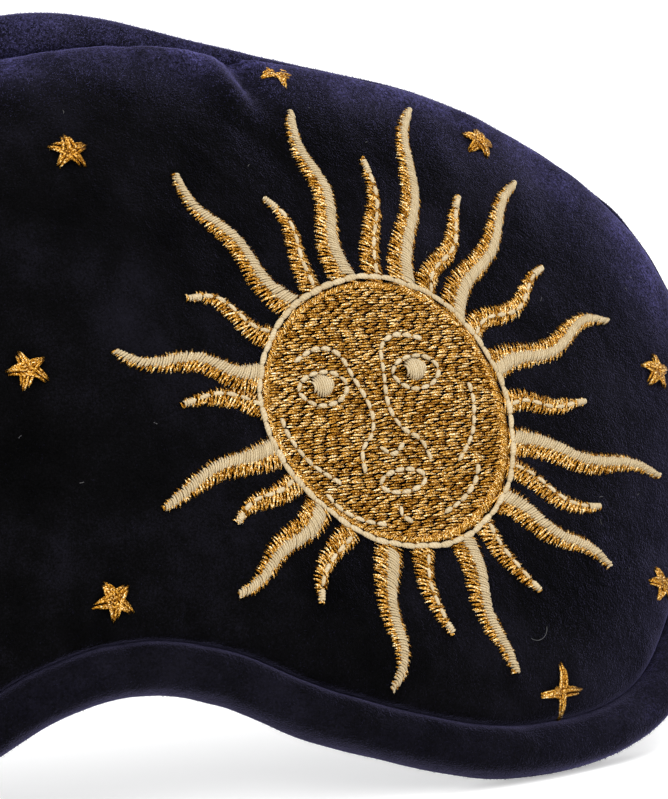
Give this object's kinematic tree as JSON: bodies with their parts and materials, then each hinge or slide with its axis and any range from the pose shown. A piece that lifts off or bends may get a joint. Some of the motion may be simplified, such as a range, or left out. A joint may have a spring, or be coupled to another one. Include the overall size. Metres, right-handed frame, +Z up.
{
  "type": "sleep eye mask",
  "caption": "Padded velvet sleep mask with a bound edge, nose arch, sun and moon embroidery, and an adjustable elastic head strap.",
  "frame": {"origin": "centre of the bounding box's footprint, on the surface that the mask stands on", "axes": "+X along the mask's width, to the right as seen from the front; the front faces -Y; +Z up"},
  "size_m": [0.2238, 0.1361, 0.1013],
  "materials": {
    "midnight_velvet": "deep pile, blue-violet sheen at grazing light",
    "lining": "smooth dark satin",
    "wadding": "soft polyester filling",
    "blackout_cloth": "matt opaque cloth",
    "elastic": "ribbed woven elastic",
    "gold_thread": "metallic gold embroidery thread",
    "cream_thread": "satin cream embroidery thread",
    "black_plastic": "moulded, smooth"
  },
  "bodies": {
    "mask": {"front_panel": "midnight_velvet", "front_wadding": "wadding", "blackout_liner": "blackout_cloth", "back_wadding": "wadding", "back_panel": "lining", "edge_binding": "midnight_velvet", "strap_tab_left": "elastic", "strap_tab_right": "elastic", "sun_gold_fill": "gold_thread", "moon_gold_fill": "gold_thread", "sparkle_01": "gold_thread", "star_01": "gold_thread", "star_02": "gold_thread", "star_03": "gold_thread", "star_04": "gold_thread", "star_05": "gold_thread", "star_06": "gold_thread", "star_07": "gold_thread", "star_08": "gold_thread", "star_09": "gold_thread", "star_10": "gold_thread", "star_11": "gold_thread", "star_12": "gold_thread", "sun_cream_lines": "cream_thread", "moon_cream_line": "cream_thread", "face_eye_left": "cream_thread", "face_eye_right": "cream_thread", "face_pupil_left": "cream_thread", "face_pupil_right": "cream_thread", "face_brow_left": "cream_thread", "face_brow_right": "cream_thread", "face_cheek_left": "cream_thread", "face_cheek_right": "cream_thread", "face_jaw_left": "cream_thread", "face_jaw_right": "cream_thread", "face_nose_tip": "cream_thread", "face_lips": "cream_thread", "face_chin": "cream_thread"},
    "strap": {"strap_left": "elastic", "strap_right": "elastic", "strap_ring": "black_plastic"},
    "slider": {"strap_slider": "black_plastic"}
  },
  "joints": [
    {"name": "strap_swing", "type": "hinge", "parent": "mask", "child": "strap", "pos_m": [0, -0.02273, 0.04205], "axis": [1, 0, 0], "range_deg": [-15, 60]},
    {"name": "slider_slide", "type": "slide", "parent": "strap", "child": "slider", "axis": [1, 0, 0], "range_m": [-0.012, 0.012]}
  ]
}
